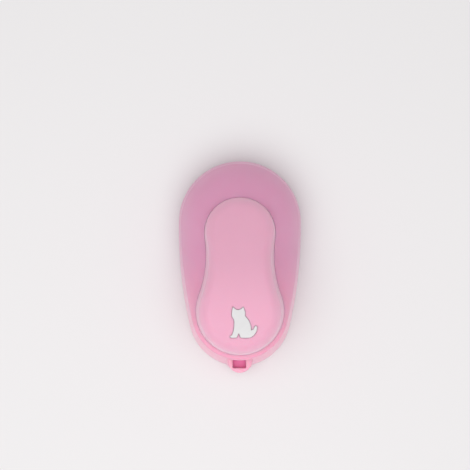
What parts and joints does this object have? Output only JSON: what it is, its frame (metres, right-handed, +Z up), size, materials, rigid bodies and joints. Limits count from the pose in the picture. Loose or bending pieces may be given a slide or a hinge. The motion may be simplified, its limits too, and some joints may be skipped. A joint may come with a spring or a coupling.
{
  "type": "craft punch",
  "caption": "Small lever craft punch: a pear-shaped thumb lever on an egg-shaped pink body drives a sitting-cat cutter through paper held in a front slot.",
  "frame": {"origin": "centre of the bounding box at the bottom, on the surface that the punch stands on", "axes": "-Y is the front, where the lever is pressed and paper goes in; +Y is the rear with the lever's pivot; +Z is up; +X is to the right seen from above with the front nearest"},
  "size_m": [0.043, 0.074, 0.033],
  "materials": {
    "body_plastic": "satin moulded pink plastic",
    "lever_plastic": "satin moulded light pink plastic",
    "white_label": "matt white inlay",
    "tool_steel": "ground steel",
    "zinc_casting": "as-cast zinc",
    "spring_steel": "drawn spring wire",
    "screw_steel": "bright zinc-plated screws"
  },
  "bodies": {
    "housing": {"base_shell": "body_plastic", "bottom_cover": "body_plastic", "upper_housing": "body_plastic", "die_plate": "tool_steel", "guide_plate": "tool_steel", "slot_spacer": "tool_steel", "die_screw_left": "screw_steel", "die_screw_right": "screw_steel", "housing_screw_middle_left": "screw_steel", "housing_screw_middle_right": "screw_steel", "housing_screw_rear_left": "screw_steel", "housing_screw_rear_right": "screw_steel", "pivot_pin": "tool_steel", "guide_post_left": "tool_steel", "guide_post_right": "tool_steel", "return_spring_left": "spring_steel", "return_spring_right": "spring_steel"},
    "lever": {"lever_cap": "lever_plastic", "shape_label": "white_label", "press_pad": "tool_steel"},
    "punch": {"punch_cutter": "tool_steel", "punch_head": "zinc_casting", "punch_screw_left": "screw_steel", "punch_screw_right": "screw_steel"}
  },
  "joints": [
    {"name": "lever_press", "type": "hinge", "parent": "housing", "child": "lever", "pos_m": [0, 0.0175, 0.0175], "axis": [1, 0, 0], "range_deg": [0, 6.4], "stiffness_Nm_per_rad": 2, "springref_deg": -3.15},
    {"name": "punch_slide", "type": "slide", "parent": "housing", "child": "punch", "axis": [0, 0, -1], "range_m": [0, 0.0041], "deforming": ["return_spring_left", "return_spring_right"]}
  ],
  "couplings": [
    {"joint": "punch_slide", "follows": "lever_press", "m_per_rad": 0.0362}
  ]
}
